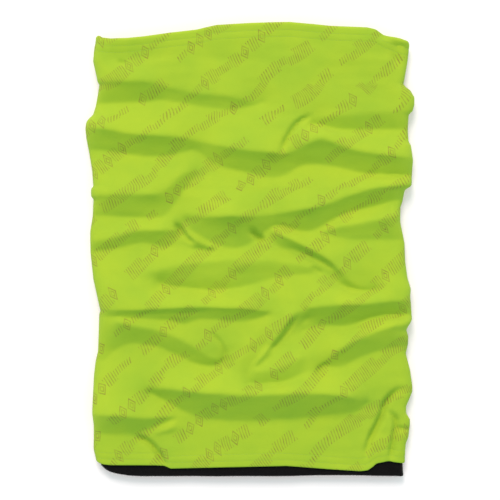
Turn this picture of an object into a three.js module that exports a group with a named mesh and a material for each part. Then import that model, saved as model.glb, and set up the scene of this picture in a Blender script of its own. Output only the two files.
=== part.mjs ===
// A lined neck gaiter lying flat: a stretch shell over a fleece lining, sewn together into one tube
// that is open at both ends. Millimetres, +Z up, +X across the tube and +Y along it.
// The origin is on the surface that the gaiter lies on, under the middle of its bounding box.
import * as THREE from "three";
import { ParametricGeometry } from "three/addons/geometries/ParametricGeometry.js";

// Driving dimensions.
const LAID_WIDTH = 245; // across the flattened tube
const LAID_LENGTH = 339; // along the tube, with its gathers in it
const LAID_HEIGHT = 22; // over both walls and the air that the gathers hold between them
const SHELL_WALL = 0.8; // knitted shell
const LINING_WALL = 1.8; // brushed fleece
const HEM_DEPTH = 12; // cloth turned under at each end of the shell
const LINING_SHOWS = 5; // lining left below the shell's lower edge
const PLY_GAP = 0.3; // between two plies that lie on each other
const THREAD = 0.3; // sewing thread, as thick as it is wide
const THREAD_GAP = 0.2; // between a thread and the cloth that it lies on
const NEEDLE_ROWS = [4, 9]; // the two needle rows of a hem, from the shell's edge
const HEM_STITCH = 8; // one whole zigzag of a hem's looper thread
const SEAM_STITCH = 8; // one whole zigzag of a back seam's overlock thread
const SEAM_WIDTH = 5; // across an overlock seam
const SHELL_SEAM_X = 0; // the shell closes at its centre back
const LINING_SEAM_X = -24; // the lining's seam is moved over, so that the two don't stack
const LABEL_WIDTH = 22;
const LABEL_LENGTH = 38;
const LABEL_THICKNESS = 0.4;
const LABEL_X = 24;
const LABEL_CORNER = 1.5;

// Steps round the flattened ring: along each flat wall, and round each folded side.
const FLAT_STEPS = 4;
const ROUND_STEPS = 10;

// Insets count inwards from the shell's outer face, through the plies.
const HEM_FOLD_INNER = 2 * SHELL_WALL; // the lower hem is the shell's cloth folded double
const LINING_OUTER = HEM_FOLD_INNER + PLY_GAP;
const LINING_INNER = LINING_OUTER + LINING_WALL;
const TURNING_OUTER = LINING_INNER + PLY_GAP; // the upper hem wraps over the lining's end
const TURNING_INNER = TURNING_OUTER + SHELL_WALL;
const GROOVE = Math.min(THREAD + THREAD_GAP, 0.7 * SHELL_WALL); // where a needle row sinks into the knit
const NEEDLE_OUTER = GROOVE - THREAD_GAP - THREAD;
const SEAM_OUTER = (SHELL_WALL + LINING_OUTER - THREAD) / 2;

// Places along the tube.
const LOWER_END = -LAID_LENGTH / 2;
const UPPER_END = LAID_LENGTH / 2;
const SHELL_LOWER = LOWER_END + LINING_SHOWS;
const LINING_UPPER = UPPER_END - SHELL_WALL - PLY_GAP;
const LOWER_ROWS = NEEDLE_ROWS.map((row) => SHELL_LOWER + row);
const UPPER_ROWS = NEEDLE_ROWS.map((row) => UPPER_END - row);

const cloth = (color, roughness) => new THREE.MeshStandardMaterial({ color, roughness, metalness: 0 });
const limeKnit = cloth(0xa6cc39, 0.85);
const blackFleece = cloth(0x17151a, 0.97);
const limeThread = cloth(0x9cc436, 0.6);
const blackThread = cloth(0x1d1b20, 0.6);
const labelSatin = cloth(0xe9e7df, 0.5);

// The ring, measured along its outer face: front wall, right fold, rear wall, left fold.
const FLAT_RUN = LAID_WIDTH - LAID_HEIGHT;
const ROUND_RUN = (Math.PI * LAID_HEIGHT) / 2;
const RING_RUN = 2 * (FLAT_RUN + ROUND_RUN);

// The point of the ring that is `along` it and `inset` inside its outer face.
function ringPoint(along, inset) {
  const radius = LAID_HEIGHT / 2 - inset;
  const middle = LAID_HEIGHT / 2;
  const side = along % RING_RUN < RING_RUN / 2 ? 1 : -1; // the second half is the first, turned over
  const onSide = along % (RING_RUN / 2);
  if (onSide <= FLAT_RUN) {
    return { x: side * (onSide - FLAT_RUN / 2), z: middle + side * radius };
  }
  const angle = ((onSide - FLAT_RUN) / ROUND_RUN) * Math.PI;
  return {
    x: side * (FLAT_RUN / 2 + radius * Math.sin(angle)),
    z: middle + side * radius * Math.cos(angle),
  };
}

// Distances round the ring that share their places with every ply, so that the plies' facets stay parallel.
const ringStations = [];
for (const start of [0, RING_RUN / 2]) {
  for (let i = 0; i < FLAT_STEPS; i++) ringStations.push(start + (i / FLAT_STEPS) * FLAT_RUN);
  for (let i = 0; i < ROUND_STEPS; i++) {
    ringStations.push(start + FLAT_RUN + (i / ROUND_STEPS) * ROUND_RUN);
  }
}

// A closed solid all round the tube. profileAt(station) gives the corners of its cross-section as
// [inset, y], in the order that takes the outer face upwards, and the ends of the ring meet.
function ringSolid(stations, profileAt) {
  const corners = profileAt(0).length;
  const place = (u, v, target) => {
    const station = Math.round(u * stations.length) % stations.length;
    const [inset, y] = profileAt(station)[Math.round(v * corners) % corners];
    const { x, z } = ringPoint(stations[station], inset);
    target.set(x, y, z);
  };
  const geometry = new ParametricGeometry(place, stations.length, corners);
  geometry.computeVertexNormals();
  return geometry;
}

const rectangle = (outer, inner, low, high) => [
  [outer, low],
  [outer, high],
  [inner, high],
  [inner, low],
];

// The groove that a needle row presses into the shell's outer face.
function groove(row) {
  const half = THREAD / 2 + THREAD_GAP;
  return [
    [0, row - half],
    [GROOVE, row - half],
    [GROOVE, row + half],
    [0, row + half],
  ];
}

// The shell is one ply, folded double at its lower edge and wrapped over the lining at its upper edge.
function shell() {
  const edge = SHELL_WALL / 2; // a folded edge is rounded by about half a ply
  const turningEnd = UPPER_END - HEM_DEPTH;
  const foldEnd = SHELL_LOWER + HEM_DEPTH;
  const profile = [
    [0, SHELL_LOWER + edge],
    ...LOWER_ROWS.flatMap(groove),
    ...[...UPPER_ROWS].reverse().flatMap(groove),
    [0, UPPER_END - edge],
    [edge, UPPER_END],
    [TURNING_INNER - edge, UPPER_END],
    [TURNING_INNER, UPPER_END - edge],
    [TURNING_INNER, turningEnd],
    [TURNING_OUTER, turningEnd],
    [TURNING_OUTER, UPPER_END - SHELL_WALL],
    [SHELL_WALL, UPPER_END - SHELL_WALL],
    [SHELL_WALL, foldEnd],
    [HEM_FOLD_INNER, foldEnd],
    [HEM_FOLD_INNER, SHELL_LOWER + edge],
    [HEM_FOLD_INNER - edge, SHELL_LOWER],
    [edge, SHELL_LOWER],
  ];
  return ringSolid(ringStations, () => profile);
}

const lining = () =>
  ringSolid(ringStations, () => rectangle(LINING_OUTER, LINING_INNER, LOWER_END, LINING_UPPER));

// A needle thread shows as one line of stitches round the outside of a hem.
function needleThread(row) {
  const section = rectangle(NEEDLE_OUTER, NEEDLE_OUTER + THREAD, row - THREAD / 2, row + THREAD / 2);
  return ringSolid(ringStations, () => section);
}

// A looper thread zigzags between the two needle rows on the inside of a hem.
function looperThread(rows, clothInner) {
  const stitches = Math.round(RING_RUN / HEM_STITCH);
  const stations = Array.from({ length: 2 * stitches }, (_, i) => (i / (2 * stitches)) * RING_RUN);
  const outer = clothInner + THREAD_GAP;
  const sections = rows.map((row) =>
    rectangle(outer, outer + THREAD, row - THREAD / 2, row + THREAD / 2),
  );
  return ringSolid(stations, (station) => sections[station % 2]);
}

// An overlock thread zigzags up a back seam, between the shell's rear wall and the lining's.
function seamThread(x) {
  const low = SHELL_LOWER + HEM_DEPTH + PLY_GAP;
  const high = UPPER_END - HEM_DEPTH;
  const legs = 2 * Math.round((high - low) / SEAM_STITCH);
  const side = (SEAM_WIDTH - THREAD) / 2;
  const line = Array.from({ length: legs + 1 }, (_, i) => [
    x + (i % 2 ? side : -side),
    low + (i / legs) * (high - low),
  ]);
  const outline = [
    ...line.map(([px, py]) => new THREE.Vector2(px - THREAD / 2, py)),
    ...line.reverse().map(([px, py]) => new THREE.Vector2(px + THREAD / 2, py)),
  ];
  return new THREE.ExtrudeGeometry(new THREE.Shape(outline), { depth: THREAD, bevelEnabled: false });
}

// A satin loop label, pressed flat, that hangs from the upper hem on the lining's rear wall.
function careLabel() {
  const [w, h, r] = [LABEL_WIDTH / 2, LABEL_LENGTH, LABEL_CORNER];
  const shape = new THREE.Shape()
    .moveTo(-w, 0)
    .lineTo(-w, r - h)
    .quadraticCurveTo(-w, -h, r - w, -h)
    .lineTo(w - r, -h)
    .quadraticCurveTo(w, -h, w, r - h)
    .lineTo(w, 0)
    .closePath();
  return new THREE.ExtrudeGeometry(shape, {
    depth: LABEL_THICKNESS,
    bevelEnabled: false,
    curveSegments: 4,
  });
}

const gaiter = new THREE.Group();

function add(name, geometry, material, place = [0, 0, 0]) {
  const mesh = new THREE.Mesh(geometry, material);
  mesh.name = name;
  mesh.position.set(...place);
  gaiter.add(mesh);
}

add("shell", shell(), limeKnit);
add("lining", lining(), blackFleece);
add("top_hem_needle_thread_outer", needleThread(UPPER_ROWS[0]), limeThread);
add("top_hem_needle_thread_inner", needleThread(UPPER_ROWS[1]), limeThread);
add("top_hem_looper_thread", looperThread(UPPER_ROWS, TURNING_INNER), limeThread);
add("bottom_hem_needle_thread_outer", needleThread(LOWER_ROWS[0]), limeThread);
add("bottom_hem_needle_thread_inner", needleThread(LOWER_ROWS[1]), limeThread);
add("bottom_hem_looper_thread", looperThread(LOWER_ROWS, LINING_INNER), blackThread);
add("shell_seam_thread", seamThread(SHELL_SEAM_X), limeThread, [0, 0, SEAM_OUTER]);
add("lining_seam_thread", seamThread(LINING_SEAM_X), blackThread, [0, 0, SEAM_OUTER]);
add("care_label", careLabel(), labelSatin, [
  LABEL_X,
  UPPER_END - HEM_DEPTH - PLY_GAP,
  LINING_INNER + PLY_GAP,
]);

export default gaiter;
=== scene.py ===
# %% [markdown]
# # A lined neck gaiter, lying flat
# This file builds the cloth of a neck gaiter: a thin lime knit shell over a black fleece lining, sewn into
# one tube. A plain model of the same tube is loaded first, and it fixes the size, the place and the names of
# the pieces. Lengths here are in millimetres, unless a line says otherwise, and each mesh is made in metres.

# %% Load the plain model
import functools
import math

import bmesh
import bpy
import numpy as np
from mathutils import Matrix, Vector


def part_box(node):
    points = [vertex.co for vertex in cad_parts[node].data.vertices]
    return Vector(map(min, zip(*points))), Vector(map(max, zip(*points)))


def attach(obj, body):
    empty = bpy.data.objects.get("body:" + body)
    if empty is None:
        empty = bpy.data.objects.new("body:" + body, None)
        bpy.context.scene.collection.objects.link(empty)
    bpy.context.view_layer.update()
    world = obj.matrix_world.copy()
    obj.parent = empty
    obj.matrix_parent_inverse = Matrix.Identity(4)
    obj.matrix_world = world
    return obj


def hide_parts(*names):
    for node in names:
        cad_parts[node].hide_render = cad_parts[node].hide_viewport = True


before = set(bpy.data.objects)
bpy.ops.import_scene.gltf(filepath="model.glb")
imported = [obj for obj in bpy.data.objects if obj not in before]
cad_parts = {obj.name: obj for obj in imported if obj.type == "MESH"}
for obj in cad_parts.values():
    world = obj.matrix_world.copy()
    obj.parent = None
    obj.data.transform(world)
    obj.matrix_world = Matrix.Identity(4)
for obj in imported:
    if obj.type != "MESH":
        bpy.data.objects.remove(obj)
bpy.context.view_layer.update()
MM = 0.001
shell_low, shell_high = (np.array(corner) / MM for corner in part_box("shell"))
print("shell box in mm", shell_low.round(1), shell_high.round(1))

# %% [markdown]
# ## Camera, light and floor
# The gaiter lies on its back, so the camera looks straight down on it, with the upper hem at the top. A long
# lens far away keeps the four edges square to the eye. Light from one side shows cloth best: one soft, warm
# lamp stands beyond the upper hem, to the left, so each gather is bright on its upper side and green on its
# lower one. A pale, cooler world fills the shade. The floor's tint balances the lamp's, so it looks white.

# %% Camera
LENS = 100.0  # mm
SENSOR = 36.0  # mm
VIEW_WIDTH = 375.0  # mm of the floor that the picture spans
MIDDLE_HEIGHT = 12.0  # mm, about halfway up the gathers

camera_data = bpy.data.cameras.new("camera")
camera_data.lens = LENS
camera_data.sensor_width = SENSOR
camera = bpy.data.objects.new("camera", camera_data)
camera.location = (0, 0, (VIEW_WIDTH * LENS / SENSOR + MIDDLE_HEIGHT) * MM)
bpy.context.scene.collection.objects.link(camera)
bpy.context.scene.camera = camera
print("camera height", round(camera.location.z, 3), "m")


# %% Lamps
def add_area_lamp(name, place, size, power, color):
    """A square lamp that faces the middle of the gaiter."""
    data = bpy.data.lights.new(name, "AREA")
    data.shape = "SQUARE"
    data.size = size
    data.energy = power
    data.color = color
    lamp = bpy.data.objects.new(name, data)
    lamp.location = place
    towards = -lamp.location
    lamp.rotation_euler = towards.to_track_quat("-Z", "Y").to_euler()
    bpy.context.scene.collection.objects.link(lamp)
    return lamp


add_area_lamp("key lamp", place=(-0.60, 3.05, 2.90), size=1.70, power=162.0, color=(1.0, 0.68, 0.60))

ROOM_COLOR = (0.68, 0.86, 0.82, 1)
ROOM_STRENGTH = 0.97
world = bpy.data.worlds.new("pale room")
world.use_nodes = True
room = world.node_tree.nodes["Background"]
room.inputs["Color"].default_value = ROOM_COLOR
room.inputs["Strength"].default_value = ROOM_STRENGTH
bpy.context.scene.world = world
bpy.context.scene.view_settings.view_transform = "Standard"

# %% Floor
FLOOR_HALF = 3.0  # m
FLOOR_COLOR = (0.64, 0.77, 0.85, 1)
FLOOR_GLOW = (0.325, 0.175, 0.15, 1)  # a faint light of its own keeps the shadow beside the cloth pale

floor_finish = bpy.data.materials.new("pale floor")
floor_finish.use_nodes = True
surface = floor_finish.node_tree.nodes["Principled BSDF"]
surface.inputs["Base Color"].default_value = FLOOR_COLOR
surface.inputs["Roughness"].default_value = 0.9
surface.inputs["Emission Color"].default_value = FLOOR_GLOW
surface.inputs["Emission Strength"].default_value = 1.0
corners = [(x * FLOOR_HALF, y * FLOOR_HALF, 0) for x, y in ((-1, -1), (1, -1), (1, 1), (-1, 1))]
floor_mesh = bpy.data.meshes.new("floor")
floor_mesh.from_pydata(corners, [], [(0, 1, 2, 3)])
floor_mesh.materials.append(floor_finish)
floor = bpy.data.objects.new("floor", floor_mesh)
bpy.context.scene.collection.objects.link(floor)
print("floor", 2 * FLOOR_HALF, "m wide")

# %% [markdown]
# ## The gathers, as lines
# A stretch tube that is laid down falls into cross gathers. Each one rises gently on its upper side to a
# rounded crest, then drops steeply to its foot, where the next gather comes out from under it. So a gather is
# drawn as two lines, in millimetres from the middle of the tube: its crest and its foot. The crest stands
# above the nearest point of the foot by the distance between them times a steepness, so a gather dies out by
# itself where its two lines meet. The lean is how far the crest is pushed over its foot, as a share of its
# height. Sculpting could make these shapes too, but lines can be read and moved.

# %% The list of gathers
# name: (crest, foot, height at the two ends of the foot, steepness, lean)
GATHERS = {
    "upper left": (
        [(-121, 126), (-88, 126.5), (-72, 126.2), (-60, 121.4), (-40, 117.4), (-15, 115.4), (8, 109.4)],
        [(-121, 110), (-97, 110.5), (-77, 110.5), (-68, 113.1), (-56, 111.1), (-38, 107.7), (-14, 104.7),
         (-2, 107.2), (10, 111.2)],
        (9, 11.5), 0.56, 0.25),
    "long upper": (
        [(-123, 92.5), (-105, 90.5), (-92, 87.5), (-75, 86), (-50, 85.3), (-40, 82.4), (-30, 80),
         (-18, 77.4), (0, 74.4), (20, 72.6), (29, 72.6), (36, 75.6), (44, 81.2), (53, 85), (61, 81.4),
         (70, 77.4), (80, 74.6), (100, 71.2), (123, 69.4)],
        [(-123, 76), (-110, 74.6), (-92, 72), (-75, 69.6), (-60, 71), (-50, 73.6), (-42, 75.6), (-37, 72.6),
         (-33, 68), (-27, 64), (-18, 61.4), (0, 57.6), (10, 54.4), (20, 54), (28, 56.6), (35, 61.6),
         (41, 64.2), (52, 64.2), (62, 62.8), (72, 60.6), (82, 58), (92, 56.6), (123, 55.6)],
        (8.5, 8.5), 0.64, 0.3),
    "upper right": (
        [(46, 96), (60, 101.5), (90, 103), (123, 103)],
        [(46, 95), (66, 90), (95, 90.5), (123, 90.5)],
        (11, 9), 0.4, 0.15),
    "hooked left": (
        [(-123, 41.9), (-97, 41.9), (-72, 41.9), (-65, 43.9), (-60, 47.9), (-51, 57.9), (-45, 59.9)],
        [(-123, 26), (-97, 25), (-76, 23.7), (-64, 24.6), (-59, 31), (-49, 45.5), (-42, 53), (-40, 56)],
        (9, 9), 0.53, 0.2),
    "long middle": (
        [(-47, 27.3), (-30, 25.1), (-5, 26.1), (8, 25.7), (29, 29.3), (52, 32.7), (64, 37.3), (76, 42),
         (90, 46.1), (104, 48.9), (123, 50.8)],
        [(-49, 22), (-46.5, 17), (-42.5, 12.8), (-35.5, 8.5), (-27, 4.6), (-18.5, 1.8), (-10, 0.5),
         (0, 4.5), (6, 8.3), (17, 18.2), (29, 16.5), (40, 12.6), (54, 16.6), (65, 24.6), (76, 29),
         (94, 32.6), (108, 37.1), (123, 38.6)],
        (9, 9), 0.67, 0.25),
    "soft right": (
        [(54, 14), (66, 18.5), (90, 22), (105, 26), (123, 27)],
        [(54, 13), (66, 9), (80, 7.8), (123, 7.4)],
        (11, 9), 0.42, 0),
    "soft left": (
        [(-123, 6), (-103, 9), (-90, 13.5), (-84, 15.5), (-70, 16), (-56, 15)],
        [(-123, -2), (-107, 0), (-95, 2), (-86, 5), (-75, 5), (-70, 3), (-63, 0.5), (-56, 6), (-54, 10)],
        (9, 9), 0.6, 0.1),
    "small pocket": (
        [(-56, 22), (-53.5, 18), (-50.5, 14.5), (-46.5, 10.5), (-41, 7.5), (-36, 5.5), (-28, 2)],
        [(-56, 19), (-53, 12), (-50.5, 6.5), (-48, 2.5), (-44, 1), (-38, 0.6), (-28, -0.8)],
        (9, 8.5), 0.85, 0),
    "middle slant": (
        [(15, 16), (20, 13.9), (28, 9.8), (39.5, 4.2), (48, -0.6), (55, -5), (62, -10), (67, -15),
         (72, -21), (77, -25.5), (84, -28), (92, -28.6)],
        [(13.5, 14.5), (14.5, 9.5), (19, 4.6), (25, 0.6), (31, -2.4), (40, -6.5), (50, -10.5), (57, -15),
         (63, -20.5), (69, -26.5), (76, -29.8), (85, -31), (94, -29.6)],
        (9.5, 9), 0.72, 0.25),
    "soft middle": (
        [(-68, -23.6), (-49, -23), (-30, -20.5), (-17, -16), (-9, -11.5), (2, -8), (17, -7.6), (31, -9.5),
         (40, -11), (53, -15)],
        [(-68, -25), (-58, -27.6), (-46, -29), (-33, -30.4), (-21, -30), (-9, -28.4), (2, -26), (12, -22.6),
         (22, -20.4), (36, -18.6), (54, -17)],
        (9, 9), 0.31, 0),
    "thin left": (
        [(-123, -45), (-110, -44.9), (-100, -44.9), (-90, -44.6), (-76, -44.2), (-64, -43.2), (-54, -42.4),
         (-30, -42.2), (-13, -43.2), (2, -43.6), (13, -46.4)],
        [(-123, -49.4), (-110, -49.8), (-100, -50), (-88, -51), (-78, -51.4), (-62, -51.8), (-56, -53),
         (-49.5, -56.6), (-45, -54), (-39, -51.2), (-30, -51.8), (-13, -53.6), (2, -52.4), (14, -48.6)],
        (16.5, 11.5), 0.84, 0.35),
    "left slope": (
        [(-123, -53), (-110, -52.6), (-100, -53)],
        [(-123, -86), (-113, -84), (-106, -79)],
        (8, 8.6), 0.28, 0),
    "tongue left": (
        [(-98, -53.4), (-92, -54.8), (-86, -56), (-80, -57), (-70, -59), (-60, -62.5), (-50, -67),
         (-42, -72), (-34, -78), (-27, -81.5), (-22, -81)],
        [(-105, -77.8), (-100, -74.2), (-92, -70.5), (-82, -70.7), (-70, -72.4), (-60, -76.8), (-50, -81.6),
         (-41, -85.8), (-31.6, -88), (-22.6, -87.2), (-18.5, -82)],
        (8.6, 9.6), 0.62, 0.1),
    "steep slant": (
        [(40.4, -43.4), (35.4, -45.6), (31.8, -49), (29, -53.5), (26.4, -58.2), (23.4, -63), (19.9, -67.6),
         (13.4, -74), (6.4, -82), (3.4, -86)],
        [(43.4, -51), (38.4, -56), (34.4, -60), (30.4, -65), (24.4, -71), (17.4, -77.5), (9.9, -84),
         (5.4, -88)],
        (9.3, 14), 0.7, 0.25),
    "right of slant": (
        [(45, -43.2), (51, -41.8), (60, -40.6), (80, -39.8), (98, -38.4), (123, -36)],
        [(39, -60.5), (46, -58.3), (54, -56), (64, -57.4), (72, -57.4), (82, -54.7), (91, -51),
         (104, -49.7), (123, -49)],
        (9, 9), 0.7, 0.2),
    "left of slant": (
        [(4, -64), (-3, -74), (-8, -84), (-9, -92)],
        [(13, -70), (6, -80), (0, -88), (-3, -95)],
        (12.5, 15), 0.2, 0),
    "lower right": (
        [(123, -54.6), (108, -55.1), (99, -58.6), (85, -63.7), (76, -68.3), (67, -74), (60, -79.5),
         (55.5, -85.5), (52, -92)],
        [(123, -72), (108, -73), (99, -75.6), (90, -78.3), (82, -81), (73, -86.5), (67, -89.2),
         (61, -87.5), (57, -88.5), (52.5, -93)],
        (9, 10), 0.58, 0.2),
    "deep lower": (
        [(-76, -103.5), (-63, -103), (-50, -103.9), (-36, -105.5), (-18, -106.9), (0, -107.3), (22, -106.1),
         (40, -105.5), (58, -106.5), (67, -107.9), (76, -109.9), (86, -112.9)],
        [(-76, -107), (-65, -113), (-56, -118), (-50, -121.7), (-41, -125.3), (-27, -127.4), (-13, -129.2),
         (10, -128.8), (26, -127.6), (41, -127), (53, -125), (66, -123.6), (79, -122.6), (84.5, -120),
         (88, -115)],
        (8.6, 8.8), 0.85, 0.15),
    "soft lower": (
        [(4, -90), (14, -90), (26, -87), (38, -80)],
        [(-2, -99), (8, -101.5), (26, -99.5), (43, -90)],
        (15, 15), 0.22, 0),
    "deep lower end": (
        [(82.5, -101), (86.5, -106.5), (87, -111)],
        [(85.5, -100), (89.5, -106.5), (90, -112)],
        (12, 11), 0.7, 0.1),
    "lower left": (
        [(-123, -123), (-104, -122.6), (-91, -124), (-76, -125.3), (-65, -124.6), (-57, -124.6)],
        [(-123, -137), (-104, -139.2), (-91, -139), (-83, -137), (-76, -134.4), (-68, -131.8),
         (-60, -128.2), (-56, -126)],
        (9, 10), 0.75, 0.2),
    "lower left nick": (
        [(-70, -137.5), (-63, -134.5), (-57, -132)],
        [(-70, -139.5), (-62, -138.8), (-54, -136.2)],
        (10, 10), 0.6, 0.1),
}
print(len(GATHERS), "gathers")

# %% [markdown]
# Between the gathers the cloth has its own rests: flat places and gentle swells, such as the two hems. They
# are single lines with a height at each end.

# %% The list of rests
RESTS = {
    "upper hem": ([(-122, 154), (-60, 160), (0, 167), (60, 167), (122, 153)], (17.2, 16)),
    "below upper hem": ([(-105, 143), (-40, 143), (10, 143), (60, 143), (105, 142)], (15.2, 15.2)),
    "upper right corner": ([(108, 144), (120, 138)], (10, 9.5)),
    "upper right dip": ([(98, 160), (119, 151)], (11.5, 10)),
    "upper right swell": ([(60, 125), (95, 116), (118, 111)], (14.5, 14.5)),
    "lower plain": ([(-50, -140), (0, -142), (60, -142), (85, -150)], (9.2, 9.4)),
    "lower left corner": ([(-112, -150), (-95, -152)], (9.8, 9.8)),
    "lower hem": ([(-122, -163), (-60, -165), (0, -165), (60, -166), (95, -163), (122, -160)], (9.4, 9.4)),
    "left swell": ([(-110, -15), (-80, -18), (-50, -10), (-10, -6)], (13.5, 14.5)),
}
print(len(RESTS), "rests")

# %% [markdown]
# Last come the creases, where the thin shell is pinched into a narrow groove that throws a dark line. Each is
# a line, a depth and a half width.

# %% The list of creases
CREASES = {
    "upper curl": ([(46, 101), (36, 96.4), (30.5, 89.5), (26, 82), (23.5, 75)], 3.4, 1.9),
    "centre pinch": ([(0, 16), (5, 11), (11, 6)], 4.4, 2.3),
    "pocket rim": ([(-55, 20.5), (-52.4, 15.6), (-49, 11.2), (-45.5, 7.8), (-41, 5.2)], 4.8, 2.3),
    "slant streak": ([(29, 2.4), (37, 0.6), (46, -3.6), (55, -8), (62, -13.4), (66.5, -19)], 3.2, 2.3),
    "blunt end": ([(46, -13.2), (50, -14.3), (54, -17.5)], 2.0, 1.7),
    "thin left rim": ([(-96, -47.8), (-78, -47), (-56, -46.2), (-30, -46)], 1, 1.9),
    "steep rim": ([(34.2, -49.3), (30.7, -55.8), (27.2, -61.3), (21.7, -68.3), (13.7, -76.8)], 3.2, 2.5),
    "tongue end": ([(-30, -61.5), (-23, -68), (-18.5, -76), (-19, -84)], 2.0, 1.7),
    "left hem fold": ([(-87.6, -139.8), (-79.6, -142.6), (-73.6, -147.1), (-69.6, -152.1), (-66.6, -157.1),
                       (-63.1, -163.6)], 4.3, 2.2),
    "right hem fold": ([(115.2, -103.7), (109.2, -106.7), (104.2, -111.2), (101, -116.7), (100, -122.2),
                        (96.2, -131.2), (91.2, -140.2), (88.2, -149.2), (87.2, -155.2)], 4.8, 2.3),
    "right hem pleat": ([(104, -121.9), (107.5, -123.8), (109.8, -127.5), (109.8, -133), (108.6, -140),
                         (106.8, -150), (105.4, -159.5)], 4.2, 2.1),
    "right hem nick": ([(110, -134), (119, -135.2)], 2.8, 1.9),
    "upper dimple": ([(-99, 141), (-95, 139.5), (-92, 140.5)], 1.6, 2.0),
    "lower right end": ([(50, -91), (54, -87), (59, -84.5)], 1.6, 1.8),
}
print(len(CREASES), "creases")

# %% [markdown]
# ## From lines to a surface
# Cloth that is held up along some lines spans the gaps between them like a stretched film. A film's height is
# everywhere the mean of its neighbours' heights, and conjugate gradients find that state on a grid in well
# under a second. The film is then softened, a lot on the crests and little along the feet, where cloth
# creases. The same film also spreads how far the crests lean over.

# %% A grid over the front of the tube
GRID_STEP = 1.2
GRID_X = np.arange(-123, 123.1, GRID_STEP)
GRID_Y = np.arange(-171.6, 171.7, GRID_STEP)
GRID_SHAPE = (len(GRID_Y), len(GRID_X))
print("grid of", GRID_SHAPE, "cells")


def rounded_line(points):
    """The line with its corners cut twice, which rounds them."""
    line = np.array(points, float)
    for _ in range(2):
        cut = [line[0]]
        for a, b in zip(line[:-1], line[1:]):
            cut += [0.75 * a + 0.25 * b, 0.25 * a + 0.75 * b]
        line = np.array([*cut, line[-1]])
    return line


def dense_line(points, step=0.7):
    """Points every step along the rounded line, and how far along it each is, from 0 to 1."""
    line = rounded_line(points)
    reach = np.concatenate([[0], np.cumsum(np.hypot(*np.diff(line, axis=0).T))])
    at = np.linspace(0, reach[-1], max(2, int(reach[-1] / step)))
    dense = np.stack([np.interp(at, reach, line[:, k]) for k in (0, 1)], axis=1)
    return dense, at / reach[-1]


def neighbour_sum(field):
    """Each cell's four neighbours minus four times itself, with the rim repeated outwards."""
    f = np.pad(field, 1, mode="edge")
    return f[:-2, 1:-1] + f[2:, 1:-1] + f[1:-1, :-2] + f[1:-1, 2:] - 4 * field


class Film:
    """A film over the grid, pulled to the values that lines give it."""

    def __init__(self):
        self.pull = np.zeros(GRID_SHAPE)
        self.wanted = np.zeros(GRID_SHAPE)

    def hold(self, points, values, strength=1.0):
        column = (points[:, 0] - GRID_X[0]) / GRID_STEP
        row = (points[:, 1] - GRID_Y[0]) / GRID_STEP
        c, r = np.floor(column).astype(int), np.floor(row).astype(int)
        for right in (0, 1):
            for up in (0, 1):
                share = strength * np.abs(1 - right - (column - c)) * np.abs(1 - up - (row - r))
                cell = (np.clip(r + up, 0, GRID_SHAPE[0] - 1), np.clip(c + right, 0, GRID_SHAPE[1] - 1))
                np.add.at(self.pull, cell, share)
                np.add.at(self.wanted, cell, share * values)

    def settle(self, stiffness=6.0, rounds=400):
        held = self.pull > 1e-9
        film = np.full(GRID_SHAPE, (self.wanted[held] / self.pull[held]).mean())
        diagonal = 4 + stiffness * self.pull
        error = stiffness * (self.wanted - self.pull * film) + neighbour_sum(film)
        move = error / diagonal
        power = (error * move).sum()
        for _ in range(rounds):
            effect = stiffness * self.pull * move - neighbour_sum(move)
            length = power / (move * effect).sum()
            film += length * move
            error -= length * effect
            fresh = error / diagonal
            next_power = (error * fresh).sum()
            move = fresh + next_power / power * move
            power = next_power
        return film


def soften(field, rate, rounds):
    """The field with each cell moved towards the mean of its neighbours, again and again."""
    for _ in range(rounds):
        field = field + rate * neighbour_sum(field) / 4
    return field


# %% Stretch the films over the gathers
HIGHEST_RISE = 15.2  # of any crest above its foot
REST_PULL, REST_CALM = 0.6, 0.5  # a rest holds the films less firmly than a crest or a foot does
height_film, crest_film, lean_film, foot_marks = Film(), Film(), Film(), Film()
for crest_line, foot_line, foot_heights, steepness, lean in GATHERS.values():
    crest, _ = dense_line(crest_line)
    foot, along = dense_line(foot_line)
    foot_height = foot_heights[0] + (foot_heights[1] - foot_heights[0]) * along
    apart = np.hypot(*(crest[:, None] - foot[None]).transpose(2, 0, 1))
    nearest = apart.argmin(axis=1)
    rise = np.minimum(steepness * apart.min(axis=1), HIGHEST_RISE)
    pushed = lean * rise
    away = crest - foot[nearest]
    away /= np.maximum(np.hypot(*away.T), 1e-6)[:, None]
    cloth_crest = crest + away * pushed[:, None]  # where the crest's cloth would be if it stood upright
    height_film.hold(cloth_crest, foot_height[nearest] + rise)
    height_film.hold(foot, foot_height)
    crest_film.hold(cloth_crest, np.ones(len(crest)))
    crest_film.hold(foot, np.zeros(len(foot)))
    lean_film.hold(cloth_crest, pushed)
    lean_film.hold(foot, pushed[apart.argmin(axis=0)])
    foot_marks.hold(foot, np.zeros(len(foot)))
for rest_line, heights in RESTS.values():
    rest, along = dense_line(rest_line)
    height_film.hold(rest, heights[0] + (heights[1] - heights[0]) * along, REST_PULL)
    crest_film.hold(rest, np.zeros(len(rest)), REST_CALM)
    lean_film.hold(rest, np.zeros(len(rest)), REST_CALM)

CREST_SOFTNESS, FOOT_SOFTNESS = 0.65, 0.08
near_foot = np.clip(2 * soften(np.clip(3 * foot_marks.pull, 0, 1), 0.9, 4), 0, 1)
softness = CREST_SOFTNESS * (1 - near_foot) + FOOT_SOFTNESS * near_foot
relief = soften(height_film.settle(), softness, 5)
crestness = soften(np.clip(crest_film.settle(), 0, 1), 0.7, 3)
push = soften(lean_film.settle(), 0.9, 8) * crestness**3
print("relief from", relief.min().round(1), "to", relief.max().round(1), "mm")

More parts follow.
